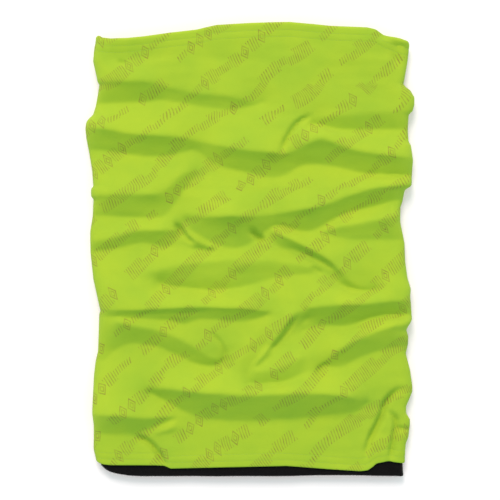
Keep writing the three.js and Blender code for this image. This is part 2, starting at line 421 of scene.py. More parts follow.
# %% Press the creases in
grid_points = np.stack(np.meshgrid(GRID_X, GRID_Y), axis=-1)
for crease_line, depth, half_width in CREASES.values():
    line, along = dense_line(crease_line, 1.0)
    low, high = line.min(axis=0) - 4 * half_width, line.max(axis=0) + 4 * half_width
    near = ((grid_points > low) & (grid_points < high)).all(axis=2)
    apart = np.hypot(*(grid_points[near][:, None] - line[None]).transpose(2, 0, 1))
    nearest = apart.argmin(axis=1)
    ends_fade = np.minimum(1, 4 * np.minimum(along, 1 - along) + 0.15)[nearest]
    relief[near] -= depth * ends_fade * np.exp(-((apart.min(axis=1) / half_width) ** 2))
print("with its creases the relief starts at", relief.min().round(1), "mm")

# %% [markdown]
# ## Edges of the tube
# The two long sides of a laid tube aren't straight: each gather bulges out past the side and each foot pulls
# it in. The two ends aren't straight either, because the gathers take up more length in some places. So the
# four edges are drawn as lines too.

# %% The four edges
LEFT_SIDE = [(-109, -172), (-115.9, -160), (-118.3, -150), (-118.1, -132), (-119.1, -122), (-118, -95),
             (-116.8, -84), (-114.9, -76), (-114.4, -62), (-113.8, -48), (-112.8, -45.5), (-114.6, -38),
             (-118.3, -22), (-120.6, -2), (-120.8, 14), (-119, 25), (-118.2, 38.5), (-120, 41),
             (-120.1, 46.5), (-118.3, 48.5), (-119.3, 60), (-121.9, 75), (-123.6, 84), (-124.3, 92),
             (-123.6, 97.4), (-120.7, 100.4), (-118.6, 102), (-116.8, 108), (-115.2, 116), (-113.7, 125),
             (-114.9, 127), (-118.5, 142), (-117.8, 150), (-116.4, 158), (-116.4, 172)]
RIGHT_SIDE = [(118, -172), (117, -158), (117.8, -146), (119.6, -142), (120.8, -133), (121.1, -128),
              (118.1, -123), (118, -118), (120.2, -113), (122.7, -107), (122.8, -103), (121.1, -91),
              (117.8, -78), (119.5, -71), (119.6, -65), (118.1, -60), (119.3, -57), (122.4, -52),
              (121.5, -40), (120.9, -34.5), (121.5, -29), (119, -21), (117.2, -8), (116.9, 5),
              (113.5, 21), (113.6, 32), (115.3, 36.5), (117, 45.5), (121.9, 48.5), (123.1, 68),
              (121.6, 79), (119.8, 82), (119.3, 91), (119.9, 102.5), (122.7, 104.5), (124.1, 109),
              (124.2, 115), (121.4, 120), (115.9, 124.5), (117.4, 133), (119.1, 142), (120.3, 153),
              (120, 172)]
UPPER_END = [(-123, 162), (-117, 160.6), (-112, 157.4), (-104, 156.2), (-92, 156.4), (-80, 157.6),
             (-60, 160.6), (-40, 162.8), (-25, 166.4), (0, 167.9), (30, 168.6), (60, 165.8), (88, 164.8),
             (94, 163.6), (100, 160), (110, 156.6), (116, 155.2), (123, 156.4)]
SHELL_LOWER_END = [(-123, -157.5), (-115, -159), (-110.7, -160.6), (-104.4, -161.2), (-65, -161.4),
                   (-61, -163.8), (-27, -163), (27, -161.8), (57.5, -164), (82.4, -165.6), (88, -165),
                   (92, -162.6), (95.5, -159.8), (100, -159), (105, -158), (108.3, -158.8),
                   (123, -160.8)]
LINING_LOWER_END = [(-123, -161), (-115, -163.4), (-110.5, -166), (-103.5, -168), (-95, -169.3),
                    (-86, -169.8), (-54, -169.8), (18, -169.6), (62, -168.8), (110, -169.6), (123, -170)]


def edge_value(line, at, along_y):
    """The other coordinate of an edge line at a place along it."""
    across, along = np.array(line, float).T
    return np.interp(at, along, across) if along_y else np.interp(at, across, along)


# %% [markdown]
# ## One master cloth for every ply
# Shell, lining, hems and threads all follow the same cloth, so one master surface is made first. Its columns
# go once round the tube, starting at the centre back where the shell's seam is, and its rows go along the
# tube. The rear wall lies on the floor, the front wall carries the gathers, and the sides roll over between
# them. Each ply is then the master, moved inwards by its depth.

# %% Columns round the tube
FRONT_CELLS, SIDE_CELLS = 168, 8
SEAM_SHARES = [0.5, 0.4982, 0.4955, 0.488]  # close together, for the groove of the shell's seam
rear_left = np.concatenate([SEAM_SHARES, np.linspace(0.465, 0.03, 10)])
REAR_HALF_CELLS = len(rear_left)
across = np.concatenate([
    rear_left,
    np.zeros(SIDE_CELLS),
    np.linspace(0, 1, FRONT_CELLS, endpoint=False),
    np.ones(SIDE_CELLS),
    [1], 1 - rear_left[:0:-1],
])
side_turns = np.linspace(0, math.pi, SIDE_CELLS, endpoint=False)
turn = np.concatenate([
    np.full(REAR_HALF_CELLS, math.pi),
    math.pi - side_turns,
    np.zeros(FRONT_CELLS),
    side_turns,
    np.full(REAR_HALF_CELLS, math.pi),
])
COLUMNS = len(across)
frontness = (1 + np.cos(turn)) / 2
print(COLUMNS, "columns round the tube")


# %% Waves for small, chance unevenness
def gentle_waves(x, y, seed, count, x_length, y_length):
    """A sum of sine waves with chance directions and starts, about 1 high at most."""
    chance = np.random.default_rng(seed)
    total = np.zeros(np.broadcast(x, y).shape)
    for _ in range(count):
        kx, ky = 2 * math.pi / x_length * chance.normal(), 2 * math.pi / y_length * (0.6 + chance.random())
        total += np.sin(kx * x + ky * y + 2 * math.pi * chance.random())
    return total / math.sqrt(2 * count)


# %% The master surface
def sample_grid(field, x, y):
    """The field's values at places between its cells."""
    column = np.clip((x - GRID_X[0]) / GRID_STEP, 0, GRID_SHAPE[1] - 1.001)
    row = np.clip((y - GRID_Y[0]) / GRID_STEP, 0, GRID_SHAPE[0] - 1.001)
    c, r = column.astype(int), row.astype(int)
    fc, fr = column - c, row - r
    low = field[r, c] * (1 - fc) + field[r, c + 1] * fc
    high = field[r + 1, c] * (1 - fc) + field[r + 1, c + 1] * fc
    return low * (1 - fr) + high * fr


def smooth_step(t):
    t = np.clip(t, 0, 1)
    return t * t * (3 - 2 * t)


ROW_STEP = 1.2
ROWS_Y = np.arange(-171.6, 171.7, ROW_STEP)
EDGE_HEIGHT = 9.4  # the side fold's height where no gather reaches it
SIDE_ROUNDNESS = 0.8  # how far a side roll stands out, as a share of its half height
EDGE_FADE = 9.0  # how far in from the side a gather starts to sink

y_grid, s_grid = np.meshgrid(ROWS_Y, across, indexing="ij")
left = edge_value(LEFT_SIDE, y_grid, True)
right = edge_value(RIGHT_SIDE, y_grid, True)


def front_height(x, from_side):
    """The front wall's height: the gathers and small waves, sunk by a fifth where the side rolls over."""
    keep = 0.8 + 0.2 * smooth_step(from_side / EDGE_FADE)
    swell = 0.12 * gentle_waves(x, y_grid, 3, 24, 110, 13) + 0.3 * gentle_waves(x, y_grid, 4, 16, 70, 40)
    return EDGE_HEIGHT + (sample_grid(relief, x, y_grid) + swell * keep - EDGE_HEIGHT) * keep


def rear_height(x, y):
    """The rear wall's outer face lies on the floor, apart from a few shallow waves."""
    return np.maximum(0.55 + 0.4 * gentle_waves(x, y, 7, 20, 120, 30), 0)


left_roll = SIDE_ROUNDNESS * (front_height(left, 0) - rear_height(left, y_grid)) / 2
right_roll = SIDE_ROUNDNESS * (front_height(right, 0) - rear_height(right, y_grid)) / 2
wall_left, wall_right = left + left_roll, right - right_roll
wall_x = wall_left + (wall_right - wall_left) * s_grid
front_z = front_height(wall_x, np.minimum(wall_x - wall_left, wall_right - wall_x))
rear_z = rear_height(wall_x, y_grid)
side = np.where(s_grid < 0.5, -1, 1)
roll = np.where(s_grid < 0.5, left_roll, right_roll)
master = np.zeros((len(ROWS_Y), COLUMNS, 3))
master[..., 0] = wall_x + side * roll * np.sin(turn)
master[..., 1] = y_grid - frontness * sample_grid(push, wall_x, y_grid)
master[..., 2] = frontness * front_z + (1 - frontness) * rear_z
print("master", master.shape, "up to", master[..., 2].max().round(1), "mm high")


# %% Soften where the walls meet the side rolls
def relax_round(points, rounds, where):
    """The points moved towards the mean of their two neighbours round the tube."""
    for _ in range(rounds):
        mean = (np.roll(points, 1, axis=1) + np.roll(points, -1, axis=1)) / 2
        points = points + 0.5 * where * (mean - points)
    return points


JOIN_REACH = 5  # columns
joins = REAR_HALF_CELLS + np.cumsum([0, SIDE_CELLS, FRONT_CELLS, SIDE_CELLS])
near_join = np.zeros(COLUMNS)
for join in joins:
    near_join = np.maximum(near_join, 1 - np.abs(np.arange(COLUMNS) - join) / JOIN_REACH)
master = relax_round(master, 6, near_join[None, :, None])


# %% Read the master anywhere
def directions(points):
    """The unit vectors out of the cloth and along it, at each point of a closed ring of columns."""
    around = np.roll(points, -1, axis=1) - np.roll(points, 1, axis=1)
    along = np.gradient(points, axis=0)
    out = np.cross(around, along)
    out /= np.linalg.norm(out, axis=2, keepdims=True)
    along /= np.linalg.norm(along, axis=2, keepdims=True)
    return out, along


def read_rows(values, y):
    """Values of the master's columns at other places along the tube, one row of places per row."""
    at = np.clip((y - ROWS_Y[0]) / ROW_STEP, 0, len(ROWS_Y) - 1.001)
    row = at.astype(int)
    share = (at - row)[..., None]
    column = np.arange(y.shape[1])[None, :]
    return values[row, column] * (1 - share) + values[row + 1, column] * share


out_of_cloth, along_cloth = directions(master)

# %% A softer master for the thick plies
# A thick ply can't follow a narrow crease, so the lining reads a master that has been relaxed both ways.
# It is first lowered to its lowest neighbour along the tube, three times, and in the end it is held down to
# the front wall, so that it stays under every crease.
CREASE_ROOM = 0.25  # how far the soft master may stand over the front wall
SIDE_ROOM = 9.0  # the same where the side rolls over, where it only has to round the turn
SOFT_ROUND, SOFT_ALONG = 0.7, 0.35

soft_master = master.copy()
soft_z = soft_master[..., 2]
for _ in range(3):
    lowest = np.minimum(np.minimum(soft_z[2:], soft_z[:-2]), soft_z[1:-1])
    soft_z[1:-1] += (lowest - soft_z[1:-1]) * frontness**4
for _ in range(12):
    soft_master = relax_round(soft_master, 1, SOFT_ROUND)
    along_mean = (soft_master[2:] + soft_master[:-2]) / 2
    soft_master[1:-1] += SOFT_ALONG * (along_mean - soft_master[1:-1])
ceiling = master[..., 2] + CREASE_ROOM + SIDE_ROOM * (1 - frontness)
soft_master[..., 2] = np.minimum(soft_master[..., 2], ceiling)
soft_out, soft_along = directions(soft_master)
print("most that the soft master stands over the front wall:",
      (soft_master - master)[:, frontness > 0.999, 2].max().round(2), "mm")

# %% [markdown]
# ## The cloth's own measure
# A knit and its print lie in the cloth, so they bend and shorten with it. Each point gets two lengths as its
# UV: how far round the tube it is from the seam, and how far along the tube, both measured on the cloth.

# %% Lengths measured on the cloth
around_step = np.linalg.norm(np.roll(master, -1, axis=1) - master, axis=2).mean(axis=0)
cloth_round = np.concatenate([[0], np.cumsum(around_step)])
along_step = np.linalg.norm(np.diff(master, axis=0), axis=2)
cloth_along = np.concatenate([np.zeros((1, COLUMNS)), np.cumsum(along_step, axis=0)])
for _ in range(30):  # evens out neighbouring columns, so that the rows of the knit stay level
    beside = np.roll(cloth_along, 1, axis=1) + np.roll(cloth_along, -1, axis=1)
    cloth_along += 0.25 * (beside - 2 * cloth_along)
cloth_along -= cloth_along[len(ROWS_Y) // 2]
print("cloth round", cloth_round[-1].round(), "mm")
print("cloth along", np.ptp(cloth_along, axis=0).mean().round(), "mm")

# %% [markdown]
# ## Closed tubes from a profile
# Each ply is a closed body: its profile goes up the outside, over the end, and back down the inside. A row of
# the profile is a place along the tube, a depth into the cloth, and how far it stands out past the edge.

# %% Walls and the shell's seam
SHELL_WALL = 0.8
LINING_WALL = 1.8
PLY_GAP = 0.3
HEM_DEPTH = 12.0
TUBE_LENGTH = 333.0  # about the mean length of the shell, which turns millimetres into shares of it
NEEDLE_ROWS = (4.0, 9.0)  # how far the two rows of stitches are from each edge
SEAM_SINK, SEAM_HALF_WIDTH = 0.45, 0.8
REAR_WIDTH = 246.0

on_rear = turn > 3
from_seam = np.where(on_rear, REAR_WIDTH * np.abs(across - 0.5), REAR_WIDTH)
seam_sink = SEAM_SINK * np.exp(-((from_seam / SEAM_HALF_WIDTH) ** 2))[None, :]
print("seam groove up to", seam_sink.max().round(2), "mm deep")


# %% A tube from rows
LINING_EASE = 0.8  # how much deeper a thick ply lies once it is clear of the hems


def tube_points(rows, ends, stride=1):
    """Points of a profile's rows. Each row is (share along the tube, depth, reach past the end)."""
    share, depth, reach = (np.array(v, float)[:, None] for v in zip(*rows))
    depth = depth + seam_sink * (depth < SHELL_WALL)
    low, high = (end[None, :] for end in ends)
    y = low + (high - low) * share
    past_hem = smooth_step(np.minimum(share, 1 - share) * TUBE_LENGTH / HEM_DEPTH - 1)
    thick = ((depth > 1.01 * SHELL_WALL) * past_hem)[..., None]

    def blend(values, soft_values):
        return read_rows(values, y) * (1 - thick) + read_rows(soft_values, y) * thick

    out = blend(out_of_cloth, soft_out)
    out /= np.linalg.norm(out, axis=2, keepdims=True)
    depth = depth[..., None] + LINING_EASE * thick
    points = blend(master, soft_master) - depth * out + reach[..., None] * blend(along_cloth, soft_along)
    cloth = read_rows(cloth_along[..., None], y)[..., 0] + reach
    return points[:, ::stride], cloth[:, ::stride]


def make_tube(name, rows, ends, stride=1):
    """A closed ring of quads from a profile's rows, with the cloth's two lengths as its UV."""
    points, cloth = tube_points(rows, ends, stride)
    count, columns = cloth.shape
    mesh = bpy.data.meshes.new(name)
    r, c = np.meshgrid(np.arange(count), np.arange(columns), indexing="ij")
    r2, c2 = (r + 1) % count, (c + 1) % columns
    faces = np.stack([r * columns + c, r * columns + c2, r2 * columns + c2, r2 * columns + c], axis=-1)
    mesh.from_pydata((points.reshape(-1, 3) * MM).tolist(), [], faces.reshape(-1, 4).tolist())
    round_lengths = np.concatenate([cloth_round[:-1][::stride], [cloth_round[-1]]])
    u = np.stack([round_lengths[c], round_lengths[c + 1], round_lengths[c + 1], round_lengths[c]], axis=-1)
    v = np.stack([cloth[r, c], cloth[r, c2], cloth[r2, c2], cloth[r2, c]], axis=-1)
    layer = mesh.uv_layers.new(name="cloth")
    layer.data.foreach_set("uv", (np.stack([u, v], axis=-1) * MM).ravel())
    mesh.shade_smooth()
    made = bpy.data.objects.new(name, mesh)
    bpy.context.scene.collection.objects.link(made)
    print(name, len(mesh.polygons), "quads")
    return made


# %% [markdown]
# ## The shell
# The shell is one ply of knit. Its lower edge is folded double, and at the upper edge it turns over the
# lining's end and comes back down inside, so the edge that shows is thick and round.

# %% Where the tube ends, column by column
# The rear wall ends a little inside the front one, so that it doesn't show past it.
END_ROW = 8  # rows in from each end, where the tube's width at that end is read
LINING_SHORT = 2.2  # how far the lining stops under the upper edge
lower_x, middle_x, upper_x = (master[row, :, 0] for row in (END_ROW, len(ROWS_Y) // 2, -END_ROW))
rearness = 1 - frontness
upper_end = edge_value(UPPER_END, upper_x, False) - 1.6 * rearness
shell_lower_end = edge_value(SHELL_LOWER_END, lower_x, False) + 0.8 * rearness
lining_lower_end = edge_value(LINING_LOWER_END, lower_x, False) + 0.6 * rearness
shell_ends = (shell_lower_end, upper_end)
lining_ends = (lining_lower_end, upper_end - LINING_SHORT)
print("upper end from", upper_end.min().round(1), "to", upper_end.max().round(1), "mm")

# %% Sizes of the plies
SHELL_ROWS = 270
hem = HEM_DEPTH / TUBE_LENGTH
turned_depth = 2 * SHELL_WALL + 2 * PLY_GAP + LINING_WALL  # how thick the upper hem is, lining and all
print("hem share", round(hem, 4), "and turned depth", round(turned_depth, 2), "mm")


def round_over(share, first_depth, last_depth, steps, outwards=1):
    """Rows that go over an end in a half circle, from one depth to another."""
    middle, radius = (first_depth + last_depth) / 2, (last_depth - first_depth) / 2
    angles = [math.pi * (i + 1) / (steps + 1) for i in range(steps)]
    return [(share, middle - radius * math.cos(a), outwards * abs(radius) * math.sin(a)) for a in angles]


# The depth, the distance from the edge and the half width of each needle row's groove, then of two swells.
HEM_WAVES = [*((0.10, row, 0.55) for row in NEEDLE_ROWS), (-0.05, 6.5, 1.5), (-0.06, 1.6, 1.4)]


def hem_depth(from_edge):
    """How far the stitches pull the cloth in: a groove at each needle row and slight swells beside them."""
    return sum(depth * math.exp(-(((from_edge - place) / half) ** 2)) for depth, place, half in HEM_WAVES)


# %% Build the shell
hem_steps = np.array([0.8, 1.6, 2.6, 3.3, 3.7, 4.0, 4.3, 4.7, 5.6, 6.5, 7.4, 8.3, 8.7, 9.0, 9.3, 9.7, 10.4])
plain_up = np.linspace(0, 1, SHELL_ROWS)
plain_up = plain_up[(plain_up > 0.95 * hem) & (plain_up < 1 - 0.95 * hem)]
up = np.concatenate([[0], hem_steps / TUBE_LENGTH, plain_up, 1 - hem_steps[::-1] / TUBE_LENGTH, [1]])
inner_up = plain_up[::3]
shell_profile = [
    *[(s, hem_depth(TUBE_LENGTH * min(s, 1 - s)), 0) for s in up],
    *round_over(1, 0, turned_depth, 6),
    *[(s, turned_depth, 0) for s in np.linspace(1, 1 - hem, 6)],
    *[(s, turned_depth - SHELL_WALL, 0) for s in np.linspace(1 - hem, 1, 6)],
    *round_over(1, turned_depth - SHELL_WALL, SHELL_WALL, 4),
    *[(s, SHELL_WALL, 0) for s in inner_up[::-1]],
    (hem, SHELL_WALL, 0),
    *[(s, 2 * SHELL_WALL, 0) for s in np.linspace(hem, 0, 6)],
    *round_over(0, 2 * SHELL_WALL, 0, 3, -1),
]
shell = make_tube("gaiter_shell", shell_profile, shell_ends)

# %% [markdown]
# ## The lining
# The fleece is more than twice as thick as the shell. It passes inside the shell's doubled lower hem and
# comes out a few millimetres below it, so that a black edge shows. At the top it stops under the turned
# shell. It is made from the same kind of profile, on the softer master.

# %% Build the lining
LINING_ROWS = 120
lining_up = np.linspace(0, 1, LINING_ROWS)


def lining_depth(share):
    """The lining's outer face lies under two plies of shell at the lower hem and under one above it."""
    above_hem = float(smooth_step((share * TUBE_LENGTH - 16) / 10))  # from 16 to 26 mm up
    return (2 - above_hem) * SHELL_WALL + PLY_GAP


lower_depth, upper_depth = lining_depth(0), lining_depth(1)
lining_profile = [
    *[(s, lining_depth(s), 0) for s in lining_up],
    *round_over(1, upper_depth, upper_depth + LINING_WALL, 3),
    *[(s, lining_depth(s) + LINING_WALL, 0) for s in lining_up[::-1]],
    *round_over(0, lower_depth + LINING_WALL, lower_depth, 4, -1),
]
lining = make_tube("gaiter_lining", lining_profile, lining_ends, stride=2)

# %% [markdown]
# ## Patterns as arithmetic
# A knit and a repeated print are sums, so their node trees are long chains of Math nodes. A small class keeps
# them readable: a Wire is a socket, and each operation on it adds the Math node that does it.

# %% Arithmetic on sockets
class Wire:
    """A socket of a node tree, to do sums with."""

    def __init__(self, tree, socket):
        self.tree, self.socket = tree, socket

    def do(self, operation, *others):
        node = self.tree.nodes.new("ShaderNodeMath")
        node.operation = operation
        for slot, value in zip(node.inputs, (self, *others)):
            if isinstance(value, Wire):
                self.tree.links.new(value.socket, slot)
            else:
                slot.default_value = value
        return Wire(self.tree, node.outputs[0])

    def fade(self, start, end):
        """1 under start, 0 over end, and straight between them."""
        node = self.tree.nodes.new("ShaderNodeMapRange")
        node.inputs["From Min"].default_value, node.inputs["From Max"].default_value = start, end
        node.inputs["To Min"].default_value, node.inputs["To Max"].default_value = 1.0, 0.0
        self.tree.links.new(self.socket, node.inputs["Value"])
        return Wire(self.tree, node.outputs["Result"])


OPERATIONS = {
    "__add__": "ADD", "__sub__": "SUBTRACT", "__mul__": "MULTIPLY", "__truediv__": "DIVIDE",
    "__abs__": "ABSOLUTE", "floor": "FLOOR", "part": "FRACT", "most": "MAXIMUM", "least": "MINIMUM",
    "below": "LESS_THAN", "cosine": "COSINE",
}
for method, operation in OPERATIONS.items():
    setattr(Wire, method, functools.partialmethod(Wire.do, operation))
print(len(OPERATIONS), "operations on wires")


# %% Groups and textures
def new_group(name, inputs, outputs):
    """A shader node group with named sockets. It returns the tree, a wire per input, and the output node."""
    tree = bpy.data.node_groups.new(name, "ShaderNodeTree")
    for label, kind, value in inputs:
        socket = tree.interface.new_socket(name=label, in_out="INPUT", socket_type=kind)
        if value is not None:
            socket.default_value = value
    for label, kind in outputs:
        tree.interface.new_socket(name=label, in_out="OUTPUT", socket_type=kind)
    entry, leave = tree.nodes.new("NodeGroupInput"), tree.nodes.new("NodeGroupOutput")
    return tree, {label: Wire(tree, entry.outputs[label]) for label, *_ in inputs}, leave


def split(wire):
    """The two lengths of a cloth place, round and along."""
    node = wire.tree.nodes.new("ShaderNodeSeparateXYZ")
    wire.tree.links.new(wire.socket, node.inputs[0])
    return Wire(wire.tree, node.outputs[0]), Wire(wire.tree, node.outputs[1])


def noise(tree, place, scale, detail, roughness=0.55):
    """A soft, cloudy value from 0 to 1."""
    node = tree.nodes.new("ShaderNodeTexNoise")
    node.inputs["Scale"].default_value = scale
    node.inputs["Detail"].default_value = detail
    node.inputs["Roughness"].default_value = roughness
    tree.links.new(place, node.inputs["Vector"])
    return Wire(tree, node.outputs["Fac"])


# %% [markdown]
# ## Knit loops
# A jersey knit shows columns of small V shapes, the legs of its loops. Loops could be modelled one by one,
# but this shell has about a quarter of a million, so a pattern with a bump stand in for them. The group
# takes a place on the cloth in millimetres. It gives the height of the yarn there, and a mask of the gaps
# between the columns, where less light gets out: the lime knit darkens its colour there as painted shade.

# %% Knit group
knit_group, ins, leave = new_group(
    "knit loops",
    [("Cloth", "NodeSocketVector", None), ("Column width", "NodeSocketFloat", 0.9),
     ("Row height", "NodeSocketFloat", 0.75)],
    [("Height", "NodeSocketFloat"), ("Gap shade", "NodeSocketFloat")])
round_mm, along_mm = split(ins["Cloth"])
in_column = abs((round_mm / ins["Column width"]).part() - 0.5)  # 0 in the middle of a column, 0.5 at its rim
leg = (abs(in_column - 0.25) * 4.0).fade(0.0, 1.0)
up_the_leg = (along_mm / ins["Row height"] + in_column * 1.6) * (2 * math.pi)
loop = up_the_leg.cosine() * 0.35 + 0.65
knit_group.links.new((leg * loop).socket, leave.inputs["Height"])
# The gap mask, which the lime knit uses to paint shade between the columns.
knit_group.links.new((leg.fade(0.0, 0.45)).socket, leave.inputs["Gap shade"])
print("knit group:", len(knit_group.nodes), "nodes")

# %% [markdown]
# ## Printed marks
# Bands of small hatched marks run up the cloth on a slant. Real prints of this kind are dye, thin and a
# little uneven, so the marks are only lines of a browner lime. Each band is cut into cells, and a chance
# number leaves a cell empty or fills it with long strokes, short strokes, low strokes or a nested diamond.

# %% Print group
PRINT_SLANT = math.radians(42)
BAND_SHIFT = 31.7  # mm, so that no two neighbouring bands start alike
STROKE_PITCH, STROKE_LEAN = 2.1, 0.28
TALL_HALF, SHORT_HALF = 4.9, 2.6  # half heights of the strokes
LOW_DROP, LOW_HALF = 2.0, 2.9
DIAMOND_ACROSS, DIAMOND_UP, DIAMOND_SIZE, DIAMOND_STEP = 0.84, 0.54, 2.75, 1.5
MARK_LIMITS = (0.08, 0.5, 0.68, 0.86)  # shares of the cells up to which each kind of mark is picked

print_group, ins, leave = new_group(
    "printed marks",
    [("Cloth", "NodeSocketVector", None), ("Band spacing", "NodeSocketFloat", 26.0),
     ("Mark pitch", "NodeSocketFloat", 8.4), ("Line width", "NodeSocketFloat", 0.72)],
    [("Ink", "NodeSocketFloat")])
round_mm, along_mm = split(ins["Cloth"])
along_band = round_mm * math.cos(PRINT_SLANT) + along_mm * math.sin(PRINT_SLANT)
up_band = along_mm * math.cos(PRINT_SLANT) - round_mm * math.sin(PRINT_SLANT)
band = (up_band / ins["Band spacing"]).floor()
from_middle = up_band - (band + 0.5) * ins["Band spacing"]
moved_on = along_band + band * BAND_SHIFT
cell = (moved_on / ins["Mark pitch"]).floor()
in_cell = moved_on - (cell + 0.5) * ins["Mark pitch"] - from_middle * STROKE_LEAN

# %% A chance number for each cell of the print
chance = print_group.nodes.new("ShaderNodeTexWhiteNoise")
chance.noise_dimensions = "2D"
pair = print_group.nodes.new("ShaderNodeCombineXYZ")
print_group.links.new(cell.socket, pair.inputs[0])
print_group.links.new(band.socket, pair.inputs[1])
print_group.links.new(pair.outputs[0], chance.inputs["Vector"])
pick = Wire(print_group, chance.outputs["Value"])
empty, long, short, low = (pick.below(limit) for limit in MARK_LIMITS)
print("mark limits", MARK_LIMITS)

# %% Strokes and diamonds
wide, tall = abs(in_cell), abs(from_middle)
half_line = ins["Line width"] * 0.5
stroke = abs((in_cell / STROKE_PITCH).part() - 0.5) * STROKE_PITCH  # how far the nearest stroke is
stroke_line = (stroke / half_line).fade(0.7, 1.3)
diamond = wide * DIAMOND_ACROSS + tall * DIAMOND_UP - DIAMOND_SIZE
outer_diamond = (abs(diamond) / half_line).fade(0.7, 1.3)
inner_diamond = (abs(diamond + DIAMOND_STEP) / half_line).fade(0.6, 1.2)
diamond_line = outer_diamond.most(inner_diamond)
reach = (tall.below(TALL_HALF) * (long - empty) + tall.below(SHORT_HALF) * (short - long)
         + abs(from_middle + LOW_DROP).below(LOW_HALF) * (low - short))
print_group.links.new((stroke_line * reach + diamond_line * (low * -1.0 + 1.0)).socket, leave.inputs["Ink"])
print("print group:", len(print_group.nodes), "nodes")


# %% [markdown]
# ## Finishes
# The shell is a matt knit of lime polyester. Its colour is not one lime: dye takes a little unevenly, the
# gaps between loops are darkened as painted shade, and the print lies on top. The lining is black fleece,
# whose nap swallows nearly all light, so its shape shows only in a faint bloom. The sheen, the gloss and the
# like are the same all over, so they are set on the shader itself.

# %% Finish helpers
def start_material(name, roughness, specular, sheen):
    """A material with its even values set. It returns the material, its tree and its shader."""
    material = bpy.data.materials.new(name)
    material.use_nodes = True
    tree = material.node_tree
    surface = tree.nodes["Principled BSDF"]
    surface.inputs["Roughness"].default_value = roughness
    surface.inputs["Specular IOR Level"].default_value = specular
    surface.inputs["Sheen Weight"].default_value = sheen
    return material, tree, surface


def use_group(tree, group, place):
    """The group's node in a material, reading a place on the cloth."""
    node = tree.nodes.new("ShaderNodeGroup")
    node.node_tree = group
    tree.links.new(place, node.inputs["Cloth"])
    return node


def mix_color(tree, share, a, b):
    """A color that goes from a to b as the share goes from 0 to 1."""
    node = tree.nodes.new("ShaderNodeMix")
    node.data_type = "RGBA"
    node.clamp_factor = True
    tree.links.new(share.socket, node.inputs["Factor"])
    for slot, value in ((node.inputs["A"], a), (node.inputs["B"], b)):
        if isinstance(value, tuple):
            slot.default_value = (*value, 1)
        else:
            tree.links.new(value, slot)
    return node.outputs["Result"]


def add_bump(tree, surface, height, distance):
    """Small relief in the light only: height 1 stands for the distance."""
    bump = tree.nodes.new("ShaderNodeBump")
    bump.inputs["Distance"].default_value = distance  # m
    tree.links.new(height.socket, bump.inputs["Height"])
    tree.links.new(bump.outputs["Normal"], surface.inputs["Normal"])


def cloth_place(tree):
    """The piece's own lengths on the cloth, in millimetres."""
    uv = tree.nodes.new("ShaderNodeUVMap")
    uv.uv_map = "cloth"
    to_mm = tree.nodes.new("ShaderNodeMapping")
    to_mm.inputs["Scale"].default_value = (1 / MM, 1 / MM, 1 / MM)
    tree.links.new(uv.outputs["UV"], to_mm.inputs["Vector"])
    return to_mm.outputs["Vector"]


# %% Lime knit
LIME = (0.375, 0.545, 0.030)
LIME_DEEP = (0.290, 0.490, 0.032)
# Painted shade: a darker lime laid in the gaps between the knit's columns.
LIME_GAP_SHADE = (0.25, 0.40, 0.024)
INK = (0.19, 0.09, 0.035)

lime_knit, tree, surface = start_material("lime knit", 0.86, 0.16, 0.06)
place = cloth_place(tree)
loops = use_group(tree, knit_group, place)
marks = use_group(tree, print_group, place)
uneven = noise(tree, place, 0.035, 3.0)
fuzz = noise(tree, place, 1.7, 3.0)
color = mix_color(tree, uneven * 1.6 - 0.45, LIME, LIME_DEEP)
# Painted shade in the gaps between the knit's columns.
color = mix_color(tree, Wire(tree, loops.outputs["Gap shade"]) * 0.35, color, LIME_GAP_SHADE)
wear = noise(tree, place, 0.22, 2.0) * 1.5 - 0.3
ink = Wire(tree, marks.outputs["Ink"]) * wear.least(1.0).most(0.3) * 0.9
tree.links.new(mix_color(tree, ink, color, INK), surface.inputs["Base Color"])
add_bump(tree, surface, Wire(tree, loops.outputs["Height"]) * 0.8 + fuzz * 0.5, 0.00012)

# %% Black fleece
BLACK_DEEP = (0.0015, 0.001, 0.0015)
BLACK_BLOOM = (0.007, 0.006, 0.007)

black_fleece, tree, surface = start_material("black fleece", 0.97, 0.06, 0.12)
place = cloth_place(tree)
tufts = noise(tree, place, 1.1, 4.0, 0.7)
swirl = noise(tree, place, 0.28, 2.0)
pile = tufts * 0.7 + swirl * 0.3
tree.links.new(mix_color(tree, pile * 1.8 - 0.5, BLACK_DEEP, BLACK_BLOOM), surface.inputs["Base Color"])
add_bump(tree, surface, pile, 0.0007)


# %% Sewing thread
def thread_finish(name, dark, light):
    """A spun polyester thread: a fine noise in its colour and bump, a little glossier than the cloth."""
    material, tree, surface = start_material(name, 0.5, 0.35, 0.1)
    place = tree.nodes.new("ShaderNodeTexCoord").outputs["Object"]
    ribs = noise(tree, place, 2600, 2.0)
    tree.links.new(mix_color(tree, ribs, dark, light), surface.inputs["Base Color"])
    add_bump(tree, surface, ribs, 0.00006)
    return material


lime_thread = thread_finish("lime thread", (0.25, 0.42, 0.02), (0.37, 0.56, 0.05))
black_thread = thread_finish("black thread", (0.006, 0.005, 0.006), (0.03, 0.027, 0.03))

# %% Satin label
satin, tree, surface = start_material("label satin", 0.38, 0.45, 0.2)
place = cloth_place(tree)
round_mm, along_mm = split(Wire(tree, place))
warp = (round_mm * (2 * math.pi / 0.35)).cosine() * 0.5 + 0.5
weft = (along_mm * (2 * math.pi / 0.6)).cosine() * 0.5 + 0.5
tree.links.new(mix_color(tree, warp * 0.6 + weft * 0.4, (0.78, 0.77, 0.73), (0.68, 0.67, 0.63)),
               surface.inputs["Base Color"])
add_bump(tree, surface, warp * weft, 0.00004)

shell.data.materials.append(lime_knit)
lining.data.materials.append(black_fleece)
print("finishes:", [m.name for m in (lime_knit, black_fleece, lime_thread, black_thread, satin)])

